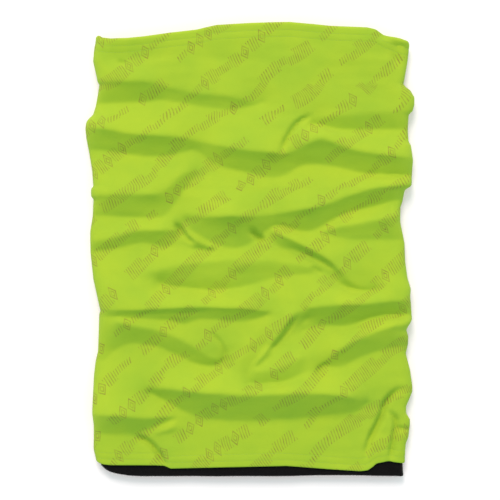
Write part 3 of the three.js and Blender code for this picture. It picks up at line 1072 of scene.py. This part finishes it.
# %% [markdown]
# ## Stitches
# Two needles and a looper sew each hem: two rows of short stitches show outside, and a looper thread zigzags
# between them inside. Overlock threads zigzag up the two back seams, between the plies. A thread follows a
# path and repeats along it, which is what Geometry Nodes are for. The path is a line of points on the cloth
# that carry two directions, out of the cloth and along it. The tree walks the path in steps of an eighth of
# a stitch, lifts and sways each step, and sweeps a small round section along the result.

# %% Helpers for geometry trees
def new_geometry_tree(name, inputs):
    """A geometry tree with named inputs. It returns the tree, its input node and its output node."""
    tree = bpy.data.node_groups.new(name, "GeometryNodeTree")
    tree.interface.new_socket(name="Geometry", in_out="INPUT", socket_type="NodeSocketGeometry")
    for label, kind in inputs:
        tree.interface.new_socket(name=label, in_out="INPUT", socket_type=kind)
    tree.interface.new_socket(name="Geometry", in_out="OUTPUT", socket_type="NodeSocketGeometry")
    return tree, tree.nodes.new("NodeGroupInput"), tree.nodes.new("NodeGroupOutput")


def add_node(tree, kind, links=(), values=(), settings=()):
    """A node with its settings, plain socket values and links, the sockets given by name or number."""
    node = tree.nodes.new(kind)
    for label, value in dict(settings).items():
        setattr(node, label, value)
    for label, value in dict(values).items():
        node.inputs[label].default_value = value
    for label, socket in dict(links).items():
        tree.links.new(socket.socket if isinstance(socket, Wire) else socket, node.inputs[label])
    return node


def grow(source, name, tree, values):
    """Run a geometry tree on a source mesh and keep the result as a plain mesh of its own."""
    modifier = source.modifiers.new("grow", "NODES")
    modifier.node_group = tree
    for item in tree.interface.items_tree:
        if item.in_out == "INPUT" and item.name in values:
            modifier[item.identifier] = values[item.name]
    bpy.context.view_layer.update()
    evaluated = source.evaluated_get(bpy.context.evaluated_depsgraph_get())
    made = bpy.data.objects.new(name, bpy.data.meshes.new_from_object(evaluated))
    made.data.name = name
    source.modifiers.clear()
    bpy.data.objects.remove(source)
    bpy.context.scene.collection.objects.link(made)
    made.data.calc_loop_triangles()
    print(name, len(made.data.loop_triangles), "triangles")
    return made


# %% The thread tree
STEPS_PER_STITCH = 8
thread_tree, entry, leave = new_geometry_tree("thread along a path", [
    ("Stitch length", "NodeSocketFloat"), ("Thickness", "NodeSocketFloat"), ("Lift", "NodeSocketFloat"),
    ("Dive", "NodeSocketFloat"), ("Sway", "NodeSocketFloat"), ("Material", "NodeSocketMaterial")])
inputs = {label: Wire(thread_tree, entry.outputs[label])
          for label in ("Stitch length", "Thickness", "Lift", "Dive", "Sway")}
path = add_node(thread_tree, "GeometryNodeMeshToCurve", {"Mesh": entry.outputs["Geometry"]})
run = add_node(thread_tree, "GeometryNodeCurveLength", {"Curve": path.outputs[0]})
stitch_count = (Wire(thread_tree, run.outputs[0]) / inputs["Stitch length"] + 0.5).floor()
walked = add_node(thread_tree, "GeometryNodeResampleCurve",
                  {"Curve": path.outputs[0], "Count": stitch_count * STEPS_PER_STITCH},
                  settings={"mode": "COUNT"})
step = Wire(thread_tree, thread_tree.nodes.new("GeometryNodeInputIndex").outputs[0])
phase = (step / STEPS_PER_STITCH).part()
arch = (phase * math.pi).do("SINE").do("POWER", 0.4)
height = arch * (inputs["Lift"] + inputs["Dive"]) - inputs["Dive"]
swing = (abs(phase - 0.5) * 4.0 - 1.0) * inputs["Sway"]
place = walked.outputs[0]
for attribute, amount in (("out", height), ("side", swing)):
    direction = add_node(thread_tree, "GeometryNodeInputNamedAttribute", values={"Name": attribute},
                         settings={"data_type": "FLOAT_VECTOR"})
    move = add_node(thread_tree, "ShaderNodeVectorMath", {0: direction.outputs[0], "Scale": amount},
                    settings={"operation": "SCALE"})
    place = add_node(thread_tree, "GeometryNodeSetPosition",
                     {"Geometry": place, "Offset": move.outputs[0]}).outputs[0]
section = add_node(thread_tree, "GeometryNodeCurvePrimitiveCircle", {"Radius": inputs["Thickness"] * 0.5},
                   {"Resolution": 6})
swept = add_node(thread_tree, "GeometryNodeCurveToMesh",
                 {"Curve": place, "Profile Curve": section.outputs[0]}, {"Fill Caps": True})
real = add_node(thread_tree, "GeometryNodeRealizeInstances", {0: swept.outputs[0]})
smooth = add_node(thread_tree, "GeometryNodeSetShadeSmooth", {"Geometry": real.outputs[0]})
finish = add_node(thread_tree, "GeometryNodeSetMaterial",
                  {"Geometry": smooth.outputs[0], "Material": entry.outputs["Material"]})
thread_tree.links.new(finish.outputs[0], leave.inputs[0])
print("thread tree:", len(thread_tree.nodes), "nodes")


# %% Paths for the thread to follow
def path_mesh(points, out, side, closed):
    """A bare line of points in mm, with the two directions that the thread tree reads."""
    count = len(points)
    mesh = bpy.data.meshes.new("path")
    mesh.from_pydata((points * MM).tolist(), [(i, (i + 1) % count) for i in range(count - (not closed))], [])
    for label, vectors in (("out", out), ("side", side)):
        mesh.attributes.new(label, "FLOAT_VECTOR", "POINT").data.foreach_set("vector", vectors.ravel())
    source = bpy.data.objects.new("path", mesh)
    bpy.context.scene.collection.objects.link(source)
    return source


def cloth_row(share, depth):
    """Once round the tube at one place along it: the points, and the directions out and along there."""
    points, _ = tube_points([(share, depth, 0)], shell_ends)
    y = (shell_lower_end + (upper_end - shell_lower_end) * share)[None, :]
    return points[0], read_rows(out_of_cloth, y)[0], read_rows(along_cloth, y)[0]


THREAD = 0.0003  # m
STITCH = 0.0032
THREAD_LIFT, THREAD_DIVE = 0.00002, 0.00025
SEAM_SWAY = 0.0022
LINING_SEAM_X = -24  # mm, so that the two seams don't lie on each other


def hem_thread(name, share, depth, material, sway=0.0):
    """One thread once round the tube. A looper thread sways and lies on the inside."""
    points, out, along = cloth_row(share, depth)
    if sway:
        out = -out
    return grow(path_mesh(points, out, along, True), name, thread_tree, {
        "Stitch length": STITCH, "Thickness": THREAD, "Lift": THREAD_LIFT, "Dive": THREAD_DIVE, "Sway": sway,
        "Material": material})


# %% Sew the hems
near_row, far_row = (row / TUBE_LENGTH for row in NEEDLE_ROWS)
row_depth = hem_depth(NEEDLE_ROWS[0])
row_middle = (near_row + far_row) / 2
half_gap = (NEEDLE_ROWS[1] - NEEDLE_ROWS[0]) / 2 * MM
threads = [
    hem_thread("upper_hem_stitches_outer", 1 - near_row, row_depth, lime_thread),
    hem_thread("upper_hem_stitches_inner", 1 - far_row, row_depth, lime_thread),
    hem_thread("upper_hem_looper", 1 - row_middle, turned_depth + 0.05, lime_thread, half_gap),
    hem_thread("lower_hem_stitches_outer", near_row, row_depth, lime_thread),
    hem_thread("lower_hem_stitches_inner", far_row, row_depth, lime_thread),
    hem_thread("lower_hem_looper", row_middle, lower_depth + LINING_WALL + 0.05, black_thread, half_gap),
]


# %% Sew the two back seams
def rear_line(x, depth, shares):
    """A line up the rear wall at one x, with its directions."""
    left_half = slice(0, REAR_HALF_CELLS)
    column = np.interp(-x, -middle_x[left_half], np.arange(REAR_HALF_CELLS))
    first, share = int(column), column - int(column)
    rows = [cloth_row(s, depth) for s in shares]
    points, out, _ = (np.array([row[k] for row in rows]) for k in range(3))
    points = points[:, first] * (1 - share) + points[:, first + 1] * share
    sideways = np.tile([1.0, 0.0, 0.0], (len(shares), 1))
    return points, out[:, first], sideways


seam_shares = np.linspace(1.05 * hem, 1 - 1.05 * hem, 160)
for name, x, material in (("shell_seam_overlock", 0, lime_thread),
                          ("lining_seam_overlock", LINING_SEAM_X, black_thread)):
    seam_points, seam_out, seam_side = rear_line(x, SHELL_WALL + PLY_GAP / 2, seam_shares)
    threads.append(grow(path_mesh(seam_points, seam_out, seam_side, False), name, thread_tree, {
        "Stitch length": STITCH, "Thickness": THREAD, "Lift": 0.0, "Dive": 0.0, "Sway": SEAM_SWAY,
        "Material": material}))

# %% [markdown]
# ## The label
# A soft satin loop hangs inside, on the rear wall under the upper hem. It is blank here. It is a thin folded
# strip, so its profile is a flat loop with a round fold at the bottom, pushed along its width.

# %% The label's place and outline
LABEL_TUCK = 4.0  # how far its top goes up under the turned shell
LABEL_THICK = 0.2
FOLD_REACH = 0.45  # how far the fold bulges past the end of the two plies
LABEL_GAP = 0.25  # between the rear lining and the label
LABEL_SHARE = 0.85  # where along the tube the lining's depth is read
label_low, label_high = (np.array(corner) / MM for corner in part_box("care_label"))
label_x = np.linspace(label_low[0], label_high[0], 15)
label_middle = int(np.argmin(np.where(on_rear, np.abs(upper_x - label_x.mean()), np.inf)))
label_top = upper_end[label_middle] - HEM_DEPTH + LABEL_TUCK
label_y = label_top - np.linspace(0, label_high[1] - label_low[1] + LABEL_TUCK, 34)
ply_mid = 0.62 * LABEL_THICK
fold_radius = ply_mid + LABEL_THICK / 2
outline = [
    *[(y, ply_mid + fold_radius) for y in label_y],
    *[(label_y[-1] - FOLD_REACH * math.sin(a), ply_mid + fold_radius * math.cos(a))
      for a in np.linspace(0, math.pi, 7)[1:-1]],
    *[(y, -LABEL_THICK / 2) for y in label_y[::-1]],
]
rear_inner = lining_depth(LABEL_SHARE) + LINING_WALL + LABEL_GAP
print("label outline", len(outline), "points, its lower ply", round(rear_inner, 2), "mm up")

# %% The label's points and faces
CURL, CURL_LENGTH, RIPPLE_LENGTH = 0.45, 38, 3.2
label_points, label_uv = [], []
for x in label_x:
    for y, off in outline:
        hang = label_top - LABEL_TUCK - y
        ripple = 1 + 0.5 * math.cos((x - label_x[0]) / RIPPLE_LENGTH)
        curl = CURL * max(0, hang / CURL_LENGTH) ** 2 * ripple
        wall = float(rear_height(np.array(x), np.array(y)))
        label_points.append((x * MM, y * MM, (wall + rear_inner + off + curl) * MM))
        label_uv.append((x * MM, y * MM))
ring = len(outline)
label_faces = []
for start in range(0, (len(label_x) - 1) * ring, ring):
    for b in range(ring):
        after = (b + 1) % ring
        label_faces.append((start + b, start + after, start + ring + after, start + ring + b))
for first, turned in ((0, True), ((len(label_x) - 1) * ring, False)):  # the two cut edges
    for b in range(ring // 2):
        corners = [first + b, first + b + 1, first + ring - 2 - b, first + ring - 1 - b]
        face = list(dict.fromkeys(corners))
        label_faces.append(tuple(face[::-1] if turned else face))
print("label", len(label_faces), "faces")

# %% The label as a closed mesh
label_mesh = bpy.data.meshes.new("care_loop")
label_mesh.from_pydata(label_points, [], label_faces)
layer = label_mesh.uv_layers.new(name="cloth")
for loop in label_mesh.loops:
    layer.data[loop.index].uv = label_uv[loop.vertex_index]
working = bmesh.new()
working.from_mesh(label_mesh)
bmesh.ops.recalc_face_normals(working, faces=working.faces)
working.to_mesh(label_mesh)
print("label", sum(not edge.is_manifold for edge in working.edges), "open edges")
working.free()
label_mesh.shade_smooth()
label_mesh.materials.append(satin)
label = bpy.data.objects.new("care_loop", label_mesh)
bpy.context.scene.collection.objects.link(label)

# %% [markdown]
# ## Nap on the bare edge
# Where the fleece shows, its fibres stand up in a short, untidy nap. They are the same thing thousands of
# times over a surface, so Geometry Nodes scatter them: points on the edge of the lining, and on each point
# one small bent spike of a few faces, turned and tilted by chance from a fixed seed. Particle hair could do
# this too, but it isn't a mesh, and these spikes have to be one.

# %% The ground that the nap grows on
NAP_REACH = 9.0  # how far up the outside it grows, in mm
nap_rows = [
    *[(s, lining_depth(s), 0) for s in np.linspace(NAP_REACH, 0, 7) / TUBE_LENGTH],
    *round_over(0, lower_depth, lower_depth + LINING_WALL, 4, -1),
    *[(s, lining_depth(s) + LINING_WALL, 0) for s in np.linspace(0, 0.5 * NAP_REACH, 4) / TUBE_LENGTH],
]
nap_points, _ = tube_points(nap_rows, lining_ends, stride=2)
nap_count, nap_columns = nap_points.shape[:2]
nap_faces = []
for start in range(0, (nap_count - 1) * nap_columns, nap_columns):
    for b in range(nap_columns):
        after = (b + 1) % nap_columns
        nap_faces.append((start + b, start + nap_columns + b, start + nap_columns + after, start + after))
nap_mesh = bpy.data.meshes.new("nap ground")
nap_mesh.from_pydata((nap_points.reshape(-1, 3) * MM).tolist(), [], nap_faces)
nap_ground = bpy.data.objects.new("nap ground", nap_mesh)
bpy.context.scene.collection.objects.link(nap_ground)
print("nap ground", len(nap_mesh.polygons), "faces")

# %% The nap tree
nap_tree, entry, leave = new_geometry_tree("fleece nap", [
    ("Fibres per square metre", "NodeSocketFloat"), ("Fibre length", "NodeSocketFloat"),
    ("Fibre thickness", "NodeSocketFloat"), ("Material", "NodeSocketMaterial")])
length = Wire(nap_tree, entry.outputs["Fibre length"])
scatter = add_node(nap_tree, "GeometryNodeDistributePointsOnFaces",
                   {"Mesh": entry.outputs["Geometry"], "Density": entry.outputs["Fibres per square metre"]},
                   {"Seed": 11}, {"distribute_method": "RANDOM"})
spike = add_node(nap_tree, "GeometryNodeMeshCone",
                 {"Radius Bottom": Wire(nap_tree, entry.outputs["Fibre thickness"]) * 0.5, "Depth": length},
                 {"Vertices": 3, "Side Segments": 2, "Radius Top": 0.0}, {"fill_type": "NONE"})
spike_place = nap_tree.nodes.new("GeometryNodeInputPosition").outputs[0]
spike_axes = add_node(nap_tree, "ShaderNodeSeparateXYZ", {0: spike_place})
bend = (Wire(nap_tree, spike_axes.outputs["Z"]) / length).do("POWER", 2.0) * length * 0.6
sideways = add_node(nap_tree, "ShaderNodeCombineXYZ", {"X": bend})
bent = add_node(nap_tree, "GeometryNodeSetPosition",
                {"Geometry": spike.outputs[0], "Offset": sideways.outputs[0]})
tilt = add_node(nap_tree, "FunctionNodeRandomValue", settings={"data_type": "FLOAT_VECTOR"})
tilt.inputs[0].default_value, tilt.inputs[1].default_value = (-0.7, -0.7, 0), (0.7, 0.7, 2 * math.pi)
tilt.inputs["Seed"].default_value = 5
turned = add_node(nap_tree, "FunctionNodeRotateRotation",
                  {0: scatter.outputs["Rotation"], 1: tilt.outputs[0]}, settings={"rotation_space": "LOCAL"})
size = add_node(nap_tree, "FunctionNodeRandomValue")
size.inputs[2].default_value, size.inputs[3].default_value = 0.6, 1.25
size.inputs["Seed"].default_value = 6
planted = add_node(nap_tree, "GeometryNodeInstanceOnPoints",
                   {"Points": scatter.outputs["Points"], "Instance": bent.outputs[0],
                    "Rotation": turned.outputs[0], "Scale": size.outputs[1]})
real = add_node(nap_tree, "GeometryNodeRealizeInstances", {0: planted.outputs[0]})
finish = add_node(nap_tree, "GeometryNodeSetMaterial",
                  {"Geometry": real.outputs[0], "Material": entry.outputs["Material"]})
nap_tree.links.new(finish.outputs[0], leave.inputs[0])
nap = grow(nap_ground, "lining_nap", nap_tree, {
    "Fibres per square metre": 2.6e6, "Fibre length": 0.0008, "Fibre thickness": 0.00009,
    "Material": black_fleece})

# %% [markdown]
# ## Tying up
# Each finished piece rides on the one body of the plain model, and stands for the plain nodes that it
# replaces, which are hidden.

# %% Tie the pieces to the plain model
(top_outer, top_inner, top_looper, bottom_outer, bottom_inner, bottom_looper,
 shell_seam, lining_seam) = threads
TIES = [
    (shell, "shell_knit", ["shell"]),
    (lining, "lining_fleece", ["lining"]),
    (top_outer, "shell_thread", ["top_hem_needle_thread_outer"]),
    (top_inner, "shell_thread", ["top_hem_needle_thread_inner"]),
    (top_looper, "shell_thread", ["top_hem_looper_thread"]),
    (bottom_outer, "shell_thread", ["bottom_hem_needle_thread_outer"]),
    (bottom_inner, "shell_thread", ["bottom_hem_needle_thread_inner"]),
    (bottom_looper, "lining_thread", ["bottom_hem_looper_thread"]),
    (shell_seam, "shell_thread", ["shell_seam_thread"]),
    (lining_seam, "lining_thread", ["lining_seam_thread"]),
    (label, "label_satin", ["care_label"]),
    (nap, "lining_fleece", []),
]
for piece, slot, nodes in TIES:
    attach(piece, "root")
    if nodes:
        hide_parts(*nodes)
print(len(TIES), "pieces tied")
